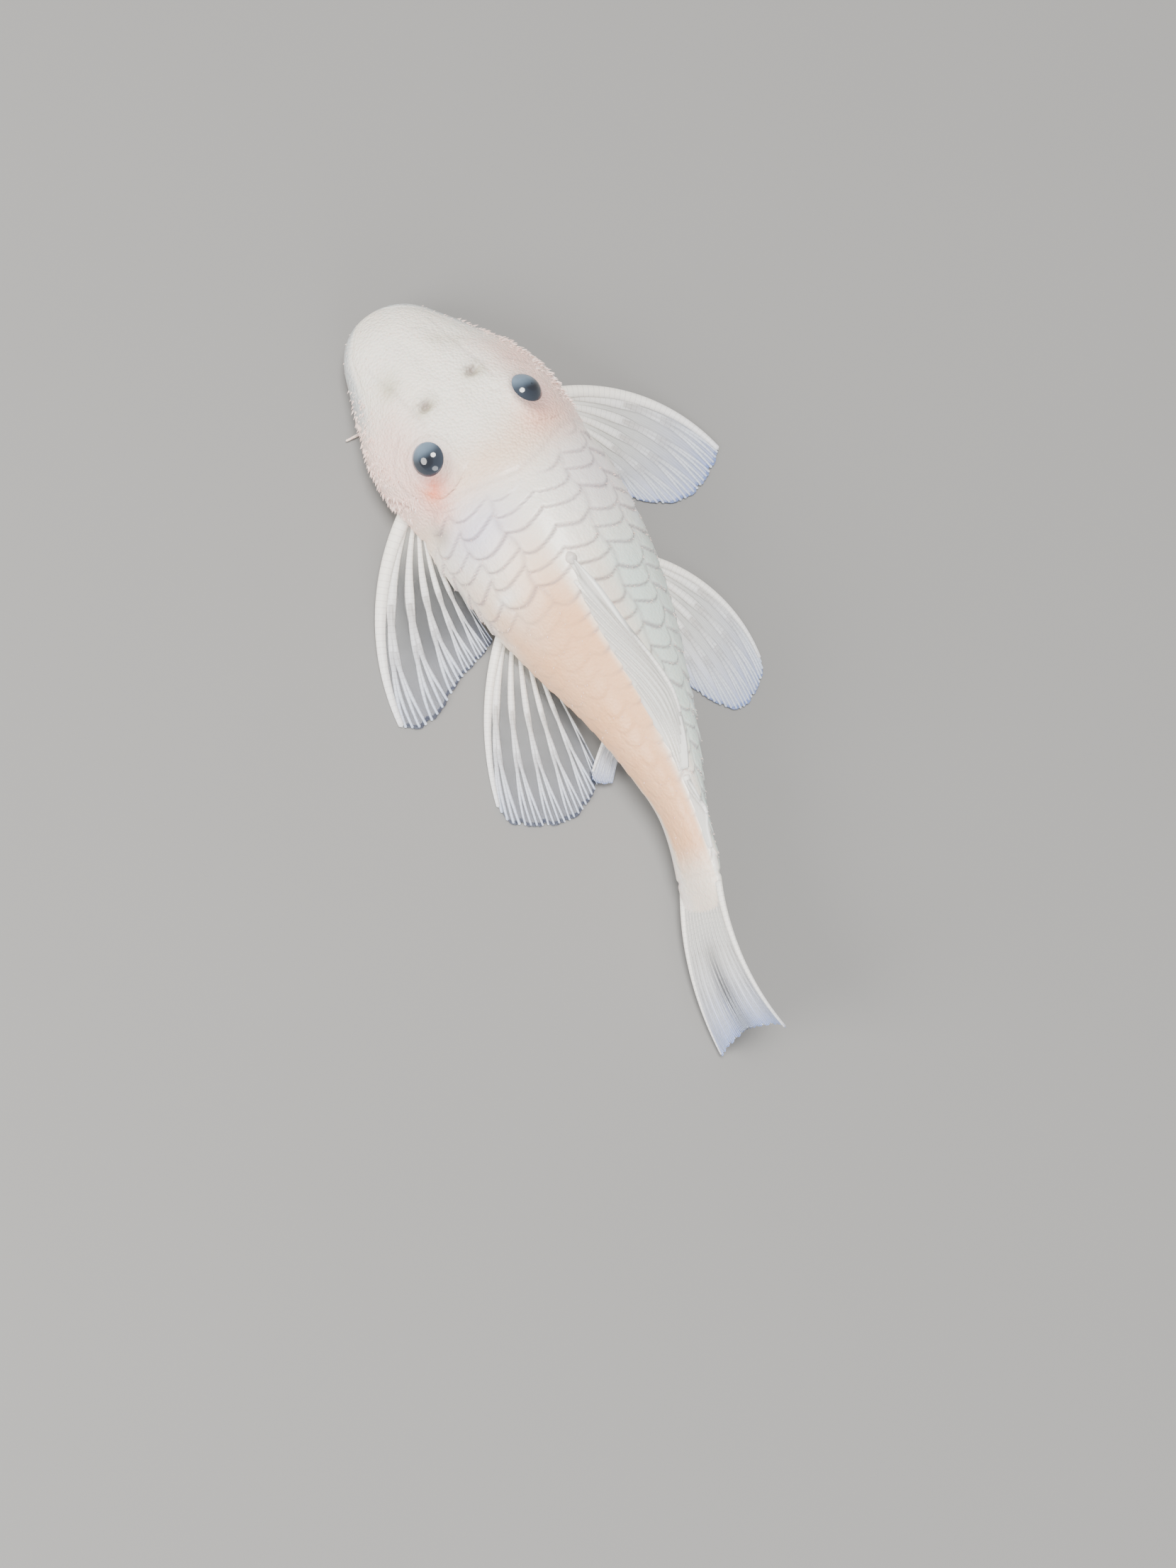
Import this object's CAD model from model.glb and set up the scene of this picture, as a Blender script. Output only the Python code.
"""Bristlenose pleco, pale form: the finished still model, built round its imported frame.

Lengths in the shape functions are millimetres in the fish's own frame: the head points towards -Y,
the fish's left side is +X and the floor is at z = 0. Meshes are written in metres.
"""
import math

import bmesh
import bpy
import numpy as np
from bpy.props import FloatProperty, FloatVectorProperty, IntProperty, PointerProperty
from mathutils import Matrix, Vector


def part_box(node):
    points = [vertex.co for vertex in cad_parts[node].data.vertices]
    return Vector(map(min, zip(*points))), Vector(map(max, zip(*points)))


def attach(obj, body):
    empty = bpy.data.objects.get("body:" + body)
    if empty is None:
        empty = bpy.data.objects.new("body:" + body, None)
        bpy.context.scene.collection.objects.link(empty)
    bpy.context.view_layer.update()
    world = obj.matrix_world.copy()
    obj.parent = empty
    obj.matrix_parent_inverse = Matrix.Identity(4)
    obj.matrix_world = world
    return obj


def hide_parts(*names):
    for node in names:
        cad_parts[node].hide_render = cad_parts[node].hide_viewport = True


bl_info = {
    "name": "Bristlenose Pleco Model",
    "version": (1, 0, 0),
    "blender": (4, 5, 0),
    "location": "View3D > Sidebar > Pleco",
    "description": "Skin, eyes, mouth, fins and spines of a pale bristlenose pleco, with its stage",
    "category": "Add Mesh",
}

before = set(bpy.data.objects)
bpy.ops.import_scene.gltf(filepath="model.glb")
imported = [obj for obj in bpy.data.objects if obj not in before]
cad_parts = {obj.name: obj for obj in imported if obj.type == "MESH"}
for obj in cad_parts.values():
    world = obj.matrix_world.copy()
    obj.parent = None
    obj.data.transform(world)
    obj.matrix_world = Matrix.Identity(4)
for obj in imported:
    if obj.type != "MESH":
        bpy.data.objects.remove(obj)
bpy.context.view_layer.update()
BODY = "root"

# Body profiles: pairs of station and value, stations and heights in shares of the standard length
STANDARD_LENGTH = 85.0
SNOUT = (-0.6, -52.4)
HALF_WIDTH = [
    (0, 0.085), (0.06, 0.092), (0.12, 0.116), (0.18, 0.143), (0.25, 0.154), (0.34, 0.149), (0.42, 0.145),
    (0.5, 0.136), (0.6, 0.115), (0.7, 0.085), (0.8, 0.057), (0.9, 0.028), (1, 0.018),
]
TOP = [
    (0, 0.064), (0.06, 0.098), (0.12, 0.125), (0.18, 0.147), (0.25, 0.167), (0.34, 0.186), (0.42, 0.195),
    (0.5, 0.19), (0.6, 0.17), (0.7, 0.152), (0.8, 0.14), (0.9, 0.131), (1, 0.138),
]
WIDEST_LEVEL = [
    (0, 0.036), (0.12, 0.038), (0.25, 0.048), (0.5, 0.056), (0.7, 0.064), (0.8, 0.072), (1, 0.08),
]
BOTTOM = [
    (0, 0.014), (0.12, 0.014), (0.18, 0.008), (0.25, -0.002), (0.5, -0.002), (0.6, 0.002), (0.7, 0.014),
    (0.8, 0.022), (0.9, 0.026), (1, 0.022),
]
TOP_POWER = [(0, 2), (0.15, 2.1), (0.25, 2.1), (0.42, 1.9), (0.6, 1.9), (0.8, 2.1), (1, 2.2)]
BOTTOM_POWER = [(0, 2.6), (0.12, 3.2), (0.25, 3.8), (0.42, 3.6), (0.6, 2.8), (0.8, 2.2), (1, 2.2)]
# Degrees: a roll leans the back to the fish's right, a heading turns the tail to its left
ROLL = [(0, 0), (0.34, 0), (0.5, -4), (0.6, -4), (0.7, 1), (0.8, 7), (0.9, 13), (1, 19)]
HEADING = [
    (0, -12), (0.12, -11.5), (0.25, -8.5), (0.42, -3), (0.6, 0), (0.7, 4), (0.8, 8.5), (0.9, 13.5), (1, 20),
]
TAIL_CAP = 0.05
SNOUT_ROUND = 0.1
SNOUT_ROUND_HEIGHT = 0.05
SNOUT_POWER = 2.2

EYE_STATION, EYE_SIDE, EYE_HEIGHT, EYE_RADIUS = 0.25, 6.9, 10.9, 2.7


def profile(pairs):
    """A smooth curve through the pairs that never swings past them."""
    xs, ys = np.array(pairs, float).T
    slopes = np.diff(ys) / np.diff(xs)
    before = np.concatenate([slopes[:1], slopes])
    after = np.concatenate([slopes, slopes[-1:]])
    same_way = before * after > 0
    tangents = np.where(same_way, 2 * before * after / np.where(same_way, before + after, 1), 0)

    def curve(at):
        x = np.clip(at, xs[0], xs[-1])
        i = np.clip(np.searchsorted(xs, x, side="right") - 1, 0, len(xs) - 2)
        span = xs[i + 1] - xs[i]
        t = (x - xs[i]) / span
        start = (1 + 2 * t) * (1 - t) ** 2 * ys[i] + t * (1 - t) ** 2 * span * tangents[i]
        return start + t * t * (3 - 2 * t) * ys[i + 1] + t * t * (t - 1) * span * tangents[i + 1]

    return curve


half_width, top_level, widest_level = profile(HALF_WIDTH), profile(TOP), profile(WIDEST_LEVEL)
bottom_level, top_power, bottom_power = profile(BOTTOM), profile(TOP_POWER), profile(BOTTOM_POWER)
roll, heading = profile(ROLL), profile(HEADING)

# The middle line of the body over the floor, added up from its headings
LINE_END, LINE_STEPS = 1.155, 550
line_stations = np.linspace(0, LINE_END, LINE_STEPS + 1)
_angles = np.radians(heading((line_stations[1:] + line_stations[:-1]) / 2))
_step = STANDARD_LENGTH * LINE_END / LINE_STEPS
line_x = SNOUT[0] + np.concatenate([[0], np.cumsum(_step * np.sin(_angles))])
line_y = SNOUT[1] + np.concatenate([[0], np.cumsum(_step * np.cos(_angles))])


def middle_at(station):
    return np.interp(station, line_stations, line_x), np.interp(station, line_stations, line_y)


def turned(x, y, across, along, angle):
    """A place on the floor plane, across and along from x and y at a heading in radians."""
    return (x + across * np.cos(angle) + along * np.sin(angle),
            y - across * np.sin(angle) + along * np.cos(angle))


def at_station(station, side, height):
    """A point of the section: side is towards the fish's left, height is above the floor."""
    level = widest_level(station) * STANDARD_LENGTH
    turn = np.radians(roll(station))
    across = side * np.cos(turn) - (height - level) * np.sin(turn)
    up = side * np.sin(turn) + (height - level) * np.cos(turn)
    x, y = middle_at(station)
    angle = np.radians(heading(station))
    return np.stack([x + across * np.cos(angle), y - across * np.sin(angle), level + up], -1)


def opened(station, length, power):
    """How far a measure has opened behind the rounded snout, from 0 at the tip to 1."""
    left = np.clip(1 - station / length, 0, 1)
    return (1 - left ** power) ** (1 / power)


def on_body(station, around):
    """A point of the plain body: around is in radians, 0 at the left side and a quarter turn at the top."""
    station, around = np.broadcast_arrays(np.asarray(station, float), np.asarray(around, float))
    wide = opened(station, SNOUT_ROUND, SNOUT_POWER)
    tall = opened(station, SNOUT_ROUND_HEIGHT, 2)
    level = widest_level(station)
    across, rise = np.cos(around), np.sin(around)
    power = 2 / np.where(rise >= 0, top_power(station), bottom_power(station))
    reach = np.where(rise >= 0, top_level(station) - level, level - bottom_level(station)) * tall
    # Past the tail base the flesh thins out over the roots of the tail fin
    thin = 1 - 0.93 * np.clip((station - 0.985) / (TAIL_CAP + 0.015), 0, 1) ** 1.2
    side = half_width(station) * wide * thin * STANDARD_LENGTH * np.sign(across) * np.abs(across) ** power
    height = (level + np.sign(rise) * reach * np.abs(rise) ** power) * STANDARD_LENGTH
    return at_station(station, side, height)


# The frame's own place of the left eye tells where the fish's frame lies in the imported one
_low, _high = (np.array(corner) * 1000 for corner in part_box("eye_left"))
ORIGIN = (_low + _high) / 2 - at_station(EYE_STATION, EYE_SIDE, EYE_HEIGHT)
ORIGIN[2] = 0


def to_metres(points):
    return (np.asarray(points, float) + ORIGIN) / 1000


def unit(vector):
    vector = np.asarray(vector, float)
    return vector / np.linalg.norm(vector)


def smooth(low, high, x):
    t = np.clip((x - low) / (high - low), 0, 1)
    return t * t * (3 - 2 * t)


def hump(x, centre, spread):
    return np.exp(-((x - centre) / spread) ** 2)


class Socket:
    """An output of a shader node, which adds Math nodes when it is used in an expression."""

    def __init__(self, shader, socket):
        self.shader = shader
        self.socket = socket

    def __add__(self, other):
        return self.shader.maths("ADD", self, other)

    def __sub__(self, other):
        return self.shader.maths("SUBTRACT", self, other)

    def __rsub__(self, other):
        return self.shader.maths("SUBTRACT", other, self)

    def __mul__(self, other):
        return self.shader.maths("MULTIPLY", self, other)

    __radd__ = __add__
    __rmul__ = __mul__


def add_node(tree, kind, settings=None, inputs=None):
    """Adds a node with its settings, and links or sets each of the named inputs."""
    made = tree.nodes.new(kind)
    for name, value in (settings or {}).items():
        setattr(made, name, value)
    for key, value in (inputs or {}).items():
        if isinstance(value, bpy.types.NodeSocket):
            tree.links.new(value, made.inputs[key])
        else:
            made.inputs[key].default_value = value
    return made


class Shader:
    """A material with one principled surface, and the nodes that feed it."""

    def __init__(self, name, **constants):
        self.material = bpy.data.materials.new(name)
        self.material.use_nodes = True
        self.tree = self.material.node_tree
        self.surface = self.tree.nodes["Principled BSDF"]
        for socket, value in constants.items():
            self.surface.inputs[socket.replace("_", " ")].default_value = value

    def node(self, kind, settings=None, inputs=None, output=0):
        inputs = {key: value.socket if isinstance(value, Socket) else value
                  for key, value in (inputs or {}).items()}
        return Socket(self, add_node(self.tree, kind, settings, inputs).outputs[output])

    def ramp(self, share, stops):
        """A black and white ramp over the share, from pairs of place and brightness."""
        made = self.node("ShaderNodeValToRGB", {}, {0: share})
        elements = made.socket.node.color_ramp.elements
        while len(elements) < len(stops):
            elements.new(1)
        for element, (place, level) in zip(elements, stops):
            element.position = place
            element.color = (level, level, level, 1)
        return made

    def maths(self, operation, *values, clamp=False):
        settings = {"operation": operation, "use_clamp": clamp}
        return self.node("ShaderNodeMath", settings, dict(enumerate(values)))

    def attribute(self, name):
        return self.node("ShaderNodeAttribute", {"attribute_name": name}, output="Fac")

    def place(self):
        return self.node("ShaderNodeTexCoord", output="Object")

    def noise(self, scale, detail):
        return self.node("ShaderNodeTexNoise", {}, {
            "Vector": self.place(), "Scale": scale, "Detail": detail, "Roughness": 0.55,
        })

    def cells(self, scale):
        return self.node("ShaderNodeTexVoronoi", {}, {"Vector": self.place(), "Scale": scale})

    def mix(self, share, first, second):
        """Mixes two colours; the indices are the colour sockets of the Mix node."""
        made = self.node("ShaderNodeMix", {"data_type": "RGBA"}, {0: share}, 2)
        for index, value in ((6, first), (7, second)):
            if isinstance(value, Socket):
                self.tree.links.new(value.socket, made.socket.node.inputs[index])
            else:
                made.socket.node.inputs[index].default_value = (*value, 1)
        return made

    def bump(self, height, distance, strength):
        return self.node("ShaderNodeBump", {}, {"Height": height, "Distance": distance, "Strength": strength})

    def feed(self, **sockets):
        for name, value in sockets.items():
            self.tree.links.new(value.socket, self.surface.inputs[name.replace("_", " ")])
        return self.material


def add_object(name, data):
    made = bpy.data.objects.new(name, data)
    bpy.context.scene.collection.objects.link(made)
    return made


def add_piece(name, points, faces, materials, replaced=(), attributes=None, indices=None):
    """Makes a mesh object from millimetre points, with its finish, its body and the nodes it replaces."""
    mesh = bpy.data.meshes.new(name)
    mesh.from_pydata(to_metres(points).tolist(), [], faces)
    mesh.validate()
    for material in materials:
        mesh.materials.append(material)
    if indices is not None:
        mesh.polygons.foreach_set("material_index", indices)
    mesh.polygons.foreach_set("use_smooth", [True] * len(mesh.polygons))
    for key, values in (attributes or {}).items():
        values = np.asarray(values, np.float32)
        kind = "FLOAT_VECTOR" if values.ndim == 2 else "FLOAT"
        layer = mesh.attributes.new(key, kind, "POINT")
        layer.data.foreach_set("vector" if values.ndim == 2 else "value", values.ravel())
    mesh.update()
    piece = add_object(name, mesh)
    claim(piece, replaced)
    return piece


def claim(piece, replaced=()):
    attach(piece, BODY)
    if replaced:
        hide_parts(*replaced)


def grid_faces(rows, columns, wrap=True):
    """Quads over a grid of points stored row by row, closed round the columns when wrap is set."""
    last = columns if wrap else columns - 1
    a = (np.arange(rows - 1)[:, None] * columns + np.arange(last)[None]).ravel()
    b = (np.arange(rows - 1)[:, None] * columns + (np.arange(last)[None] + 1) % columns).ravel()
    return np.stack([a, b, b + columns, a + columns], 1)


def capped_faces(rows, columns):
    """A grid closed round its columns, with a fan over each end to the two points that follow it."""
    count, last = rows * columns, (rows - 1) * columns
    faces = grid_faces(rows, columns).tolist()
    faces += [[count, (j + 1) % columns, j] for j in range(columns)]
    faces += [[count + 1, last + j, last + (j + 1) % columns] for j in range(columns)]
    return faces


class Mesh:
    """Collects closed parts of one piece."""

    def __init__(self):
        self.points = []
        self.faces = []
        self.indices = []
        self.fields = {}
        self.count = 0

    def add(self, points, faces, index=0, **fields):
        points = np.asarray(points, float).reshape(-1, 3)
        self.faces += [[corner + self.count for corner in face] for face in faces]
        self.indices += [index] * len(faces)
        self.points.append(points)
        for name, values in fields.items():
            self.fields.setdefault(name, []).append(np.broadcast_to(values, len(points)).astype(float))
        self.count += len(points)

    def tube(self, path, radii, sides=8, index=0, heights=None, up=(0, 0, 1), **fields):
        """A closed tube along the path, radii wide and heights thick on each side of it."""
        path = np.asarray(path, float)
        radii = np.broadcast_to(radii, len(path))
        heights = radii if heights is None else np.broadcast_to(heights, len(path))
        along = np.gradient(path, axis=0)
        along /= np.linalg.norm(along, axis=1, keepdims=True)
        side = np.cross(np.asarray(up, float), along)
        side /= np.linalg.norm(side, axis=1, keepdims=True)
        rise = np.cross(along, side)
        angle = np.linspace(0, 2 * np.pi, sides, endpoint=False)
        wide = side[:, None] * (radii[:, None] * np.cos(angle))[..., None]
        thick = rise[:, None] * (heights[:, None] * np.sin(angle))[..., None]
        points = (path[:, None] + wide + thick).reshape(-1, 3)
        caps = [path[0] - along[0] * radii[0] * 0.5, path[-1] + along[-1] * radii[-1] * 0.8]
        spread = {}
        for name, values in fields.items():
            values = np.broadcast_to(values, len(path)).astype(float)
            spread[name] = np.concatenate([np.repeat(values, sides), values[[0, -1]]])
        self.add(np.concatenate([points, caps]), capped_faces(len(path), sides), index, **spread)

    def sheet(self, upper, lower, index=0, **fields):
        """A thin closed sheet between two grids of points of the same size."""
        rows, columns = upper.shape[:2]
        count = rows * columns
        top = grid_faces(rows, columns, wrap=False)
        rim = [*range(columns), *range(2 * columns - 1, count, columns)]
        rim += [*range(count - 2, count - columns - 1, -1), *range(count - 2 * columns, 0, -columns)]
        faces = [*top.tolist(), *(top[:, ::-1] + count).tolist()]
        for a, b in zip(rim, rim[1:] + rim[:1]):
            faces.append([b, a, a + count, b + count])
        values = {name: np.concatenate([v.ravel(), v.ravel()]) for name, v in fields.items()}
        self.add(np.concatenate([upper.reshape(-1, 3), lower.reshape(-1, 3)]), faces, index, **values)

    def piece(self, name, materials, slot, replaced=()):
        fields = {key: np.concatenate(values) for key, values in self.fields.items()}
        return add_piece(name, np.concatenate(self.points), self.faces, materials, replaced,
                         fields, self.indices)


# Degrees down from the middle of the back to the seams between the rows of plates
PLATE_ROWS = [0, 26, 52, 80, 112]
ROW_SHIFTS = np.array([0.0, 0.1, 0.5, 0.95])
PLATE_PITCH = 0.030
PLATE_EDGE = 0.367


def plate_relief(station, down, left):
    """How high the overlapping plates stand in shares of their step, and how near an edge a point is."""
    down = down + 2.2 * np.sin(station * 70 + left * 2) * smooth(12, 26, down)
    row = np.clip(np.searchsorted(PLATE_ROWS, down, side="right") - 1, 0, len(PLATE_ROWS) - 2)
    low, high = np.array(PLATE_ROWS)[row], np.array(PLATE_ROWS)[row + 1]
    across = (down - low) / (high - low) * 2 - 1
    wobble = 0.13 * np.sin(station * 62 + row * 2.1 + left * 1.3) + 0.07 * np.sin(down * 0.21 + row)
    along = (station - PLATE_EDGE) / PLATE_PITCH + ROW_SHIFTS[row] + 0.38 * across ** 2 + wobble
    share = along % 1
    step = np.where(share < 0.9, (share / 0.9) ** 1.1, (1 - share) / 0.1)
    seam = np.exp(-((1 - np.abs(across)) / 0.12) ** 2) * (down > 3)
    stand = step * (1 - 0.4 * seam) + 0.3 * (1 - across ** 2)
    edge = np.maximum(np.maximum(hump(share, 0.98, 0.08), hump(share, -0.02, 0.07)), 0.5 * seam)
    front = 0.345 + 0.02 * np.cos(np.radians(down * 3)) + 0.02 * smooth(60, 84, down)
    fade = smooth(front - 0.012, front + 0.02, station) * (1 - smooth(104, 116, down))
    fade = fade * (1 - smooth(0.965, 0.985, station))
    return stand * fade, edge * fade


def skin_stations():
    snout = SNOUT_ROUND * ((np.arange(58) + 0.35) / 58) ** 2
    head = np.linspace(0.1, 0.3, 112)[:-1]
    body = np.linspace(0.3, 1 + TAIL_CAP * 0.985, 262)
    return np.concatenate([snout, head, body])


def skin_columns():
    """Around the section, closer together over the back and sides than under the belly."""
    upper = np.radians(np.linspace(-20, 200, 162, endpoint=False))
    lower = np.radians(np.linspace(200, 340, 54, endpoint=False))
    return np.concatenate([upper, lower])


def eye_centres():
    return [at_station(EYE_STATION, side * EYE_SIDE, EYE_HEIGHT) for side in (1, -1)]


EYE_TILT = 31.0


def eye_axis(side):
    """The eye looks up and out from the head."""
    angle, tilt = math.radians(float(heading(EYE_STATION))), math.radians(EYE_TILT)
    across = side * math.sin(tilt)
    return np.array([across * math.cos(angle), -across * math.sin(angle), math.cos(tilt)])


def line_groove(station, down, path, width):
    """How near a point of the surface is to a rounded line of stations and degrees, from 0 to 1."""
    path = np.array(path, float)
    for _ in range(2):
        inner = np.stack([path[:-1] * 0.75 + path[1:] * 0.25, path[:-1] * 0.25 + path[1:] * 0.75], 1)
        path = np.concatenate([path[:1], inner.reshape(-1, 2), path[-1:]])
    place = np.stack([station * STANDARD_LENGTH, down * 0.2], -1)
    stops = np.array(path, float) * (STANDARD_LENGTH, 0.2)
    best = np.full(station.shape, 1e9)
    for start, end in zip(stops[:-1], stops[1:]):
        run = end - start
        share = np.clip(((place - start) @ run) / (run @ run), 0, 1)
        gap = place - (start + share[..., None] * run)
        best = np.minimum(best, np.hypot(gap[..., 0], gap[..., 1]))
    return np.exp(-(best / width) ** 2)


GILL_SLIT = [(0.232, 106), (0.238, 98), (0.246, 90), (0.256, 82), (0.270, 76), (0.288, 72)]
GILL_OPENING = [(0.222, 124), (0.232, 134), (0.246, 144), (0.258, 152)]
VENT = [(0.655, 176), (0.668, 180)]
OCCIPUT_EDGE = [(0.345, 0), (0.338, 18), (0.322, 34), (0.318, 52), (0.33, 66)]
CHEEK_EDGE = [(0.19, 44), (0.22, 62), (0.262, 66), (0.29, 58)]
SNOUT_EDGE = [(0.205, 24), (0.16, 26), (0.12, 30), (0.07, 42)]
HEAD_SEAMS = [OCCIPUT_EDGE, CHEEK_EDGE, SNOUT_EDGE]
CHEEK_FOLD = [(0.315, 60), (0.33, 78), (0.335, 100)]
# Millimetres high, degrees down from the back and their spread, the station and its spread
HEAD_SWELLS = [
    (0.28, 27, 9, 0.25, 0.055), (-0.30, 6, 12, 0.24, 0.06), (0.22, 12, 10, 0.11, 0.05),
    (0.30, 82, 16, 0.21, 0.05), (-0.22, 55, 11, 0.17, 0.05),
]


def skin_form(sizes):
    """The grid of skin points with their outward directions and painted fields."""
    station, around = np.meshgrid(skin_stations(), skin_columns(), indexing="ij")
    # The flesh runs further over the outer rays of the tail fin than over the middle ones
    station = station + 0.014 * smooth(0.985, 1 + TAIL_CAP, station) * (np.sin(around) ** 2 - 0.6)
    plain = on_body(station, around)
    along = np.gradient(plain, axis=0)
    across = np.roll(plain, -1, axis=1) - np.roll(plain, 1, axis=1)
    out = np.cross(across, along)
    out /= np.maximum(np.linalg.norm(out, axis=-1, keepdims=True), 1e-9)
    if np.mean(out[200, 20:140] @ np.array([0, 0, 1.0])) < 0:
        out = -out
    degrees = np.degrees(around)
    down = np.abs(degrees - 90)
    down = np.where(down > 180, 360 - down, down)
    left = (np.cos(around) > 0).astype(float)

    def spot(place, long, at, wide):
        """A soft patch round a station and so many degrees down from the middle of the back."""
        return hump(station, place, long) * hump(down, at, wide)

    plates, plate_edge = plate_relief(station, down, left)
    calm = left * smooth(0.5, 0.56, station) * smooth(6, 20, down)
    size = sizes.plate_step * 1000 * (1 - 0.35 * smooth(0.7, 1.0, station)) * (1 - 0.68 * calm)
    lift = plates * size

    head = 1 - smooth(0.3, 0.36, station)
    for height, at, wide, place, long in HEAD_SWELLS:
        lift += head * height * spot(place, long, at, wide)
    seams = np.zeros_like(station)
    for seam in HEAD_SEAMS:
        seams = np.maximum(seams, line_groove(station, down, seam, 0.3))
    lift -= 0.09 * seams
    slit = line_groove(station, down, GILL_SLIT, 0.3)
    under = line_groove(station, down, GILL_OPENING, 0.35) + line_groove(station, down, VENT, 0.5)
    lift -= 0.4 * under
    lift += 0.2 * line_groove(station, down, GILL_SLIT, 0.9) - 0.6 * slit
    pit = spot(0.352, 0.016, 70, 9)
    lift -= 0.55 * pit
    lift += 0.35 * spot(0.375, 0.035, 94, 10)
    lift -= 0.3 * line_groove(station, down, CHEEK_FOLD, 0.6)

    nostril = spot(0.18, 0.0085, 17, 4.2)
    ring = hump(np.hypot((station - 0.18) / 0.013, (down - 17) / 6.5), 1, 0.35)
    flap = spot(0.1765, 0.0035, 17, 4.5)
    lift += 0.16 * ring * (station < 0.22) - 0.5 * nostril + 0.55 * flap

    # The crease at the tail base
    lift -= 0.22 * hump(station, 0.988, 0.0035)
    rim = 62 - 18 * (1 - smooth(0.0, 0.05, station))
    margin = (1 - smooth(0.1, 0.17, station)) * smooth(rim - 7, rim + 7, down) * (1 - smooth(122, 140, down))
    snout = (1 - smooth(0.1, 0.16, station)) * smooth(0, 0.02, station)
    lift += (0.12 * hump(down, rim + 12, 9) - 0.14 * hump(down, rim - 4, 4)) * snout
    points = plain + out * lift[..., None]

    open_eye = np.zeros_like(station)
    for side, centre in zip((1, -1), eye_centres()):
        away = points - centre
        distance = np.linalg.norm(away, axis=-1)
        direction = away / distance[..., None]
        angle = np.degrees(np.arccos(np.clip(direction @ eye_axis(side), -1, 1)))
        close = (1 - smooth(62, 78, angle)) * (distance < EYE_RADIUS * 2)
        sunk = 1 - smooth(38, 57, angle)
        lip = 0.34 * hump(angle, 60, 8)
        target = (EYE_RADIUS - 0.55) * sunk + (distance + lip) * (1 - sunk)
        radius = distance + (target - distance) * (close > 0.01)
        points = centre + direction * radius[..., None]
        open_eye = np.maximum(open_eye, close * hump(angle, 50, 9))

    points[..., 2] = np.maximum(points[..., 2], 0.03)

    right = 1 - left
    flank = smooth(0.38, 0.6, station + 0.02 * np.sin(degrees * 0.12))
    flank = flank * (1 - 0.8 * smooth(0.93, 1.0, station))
    side_band = smooth(3, 14, down) * (1 - smooth(92, 116, down))
    side_band = side_band * (1 - 0.75 * smooth(60, 92, down) * (1 - smooth(0.5, 0.62, station)))
    fields = {
        "peach": np.clip(flank * side_band * (0.16 + 0.84 * left)
                         + 0.5 * hump(station, 0.31, 0.04) * (1 - smooth(20, 70, down))
                         + 0.35 * left * hump(station, 0.34, 0.03) * smooth(50, 80, down), 0, 1),
        "mint": right * smooth(0.4, 0.55, station) * smooth(10, 30, down) * (1 - smooth(90, 112, down)),
        "lilac": left * spot(0.385, 0.045, 42, 26) + 0.5 * right * spot(0.4, 0.07, 45, 30),
        "blush": left * (0.95 * spot(0.29, 0.019, 45, 9) + 0.4 * spot(0.325, 0.035, 54, 12))
        + right * 0.4 * spot(0.29, 0.03, 28, 14),
        "olive": 0.95 * spot(0.184, 0.012, 17, 7) + 0.3 * spot(0.126, 0.012, 31, 8)
        + left * (0.4 * spot(0.115, 0.02, 30, 12) + 0.45 * spot(0.352, 0.018, 68, 12))
        + right * 0.3 * spot(0.108, 0.012, 22, 7),
        "rosy": head * smooth(0.1, 0.2, station) * smooth(15, 50, down) * (1 - smooth(95, 115, down)),
        "margin": margin,
        "naked": 1 - smooth(0.3, 0.36, station),
        "edge": np.clip(np.maximum(plate_edge * (1 - 0.88 * calm), 0.22 * seams), 0, 1)
        * (1 - 0.85 * hump(down, 0, 12) * smooth(0.7, 0.8, station)),
        "dark": np.clip(0.3 * slit + 0.25 * under + 0.55 * nostril + 0.25 * pit + 0.4 * open_eye, 0, 1),
        "belly": smooth(104, 124, down),
        "ridge": np.clip(hump(down, 0, 13) * smooth(0.74, 0.8, station)
                         + 0.9 * left * spot(0.492, 0.011, 50, 10), 0, 1),
        "bristle": (smooth(0.06, 0.12, station) * (1 - smooth(0.27, 0.31, station)))
        * smooth(56, 72, down) * (1 - smooth(94, 104, down)),
        "grain": np.clip(smooth(0.3, 0.42, station) * plate_edge * (1 - 0.6 * calm) + 0.15 * head, 0, 1)
        * (1 - smooth(100, 112, down)),
    }
    lie = along / np.maximum(np.linalg.norm(along, axis=-1, keepdims=True), 1e-9)
    return points, out, lie, fields


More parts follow.
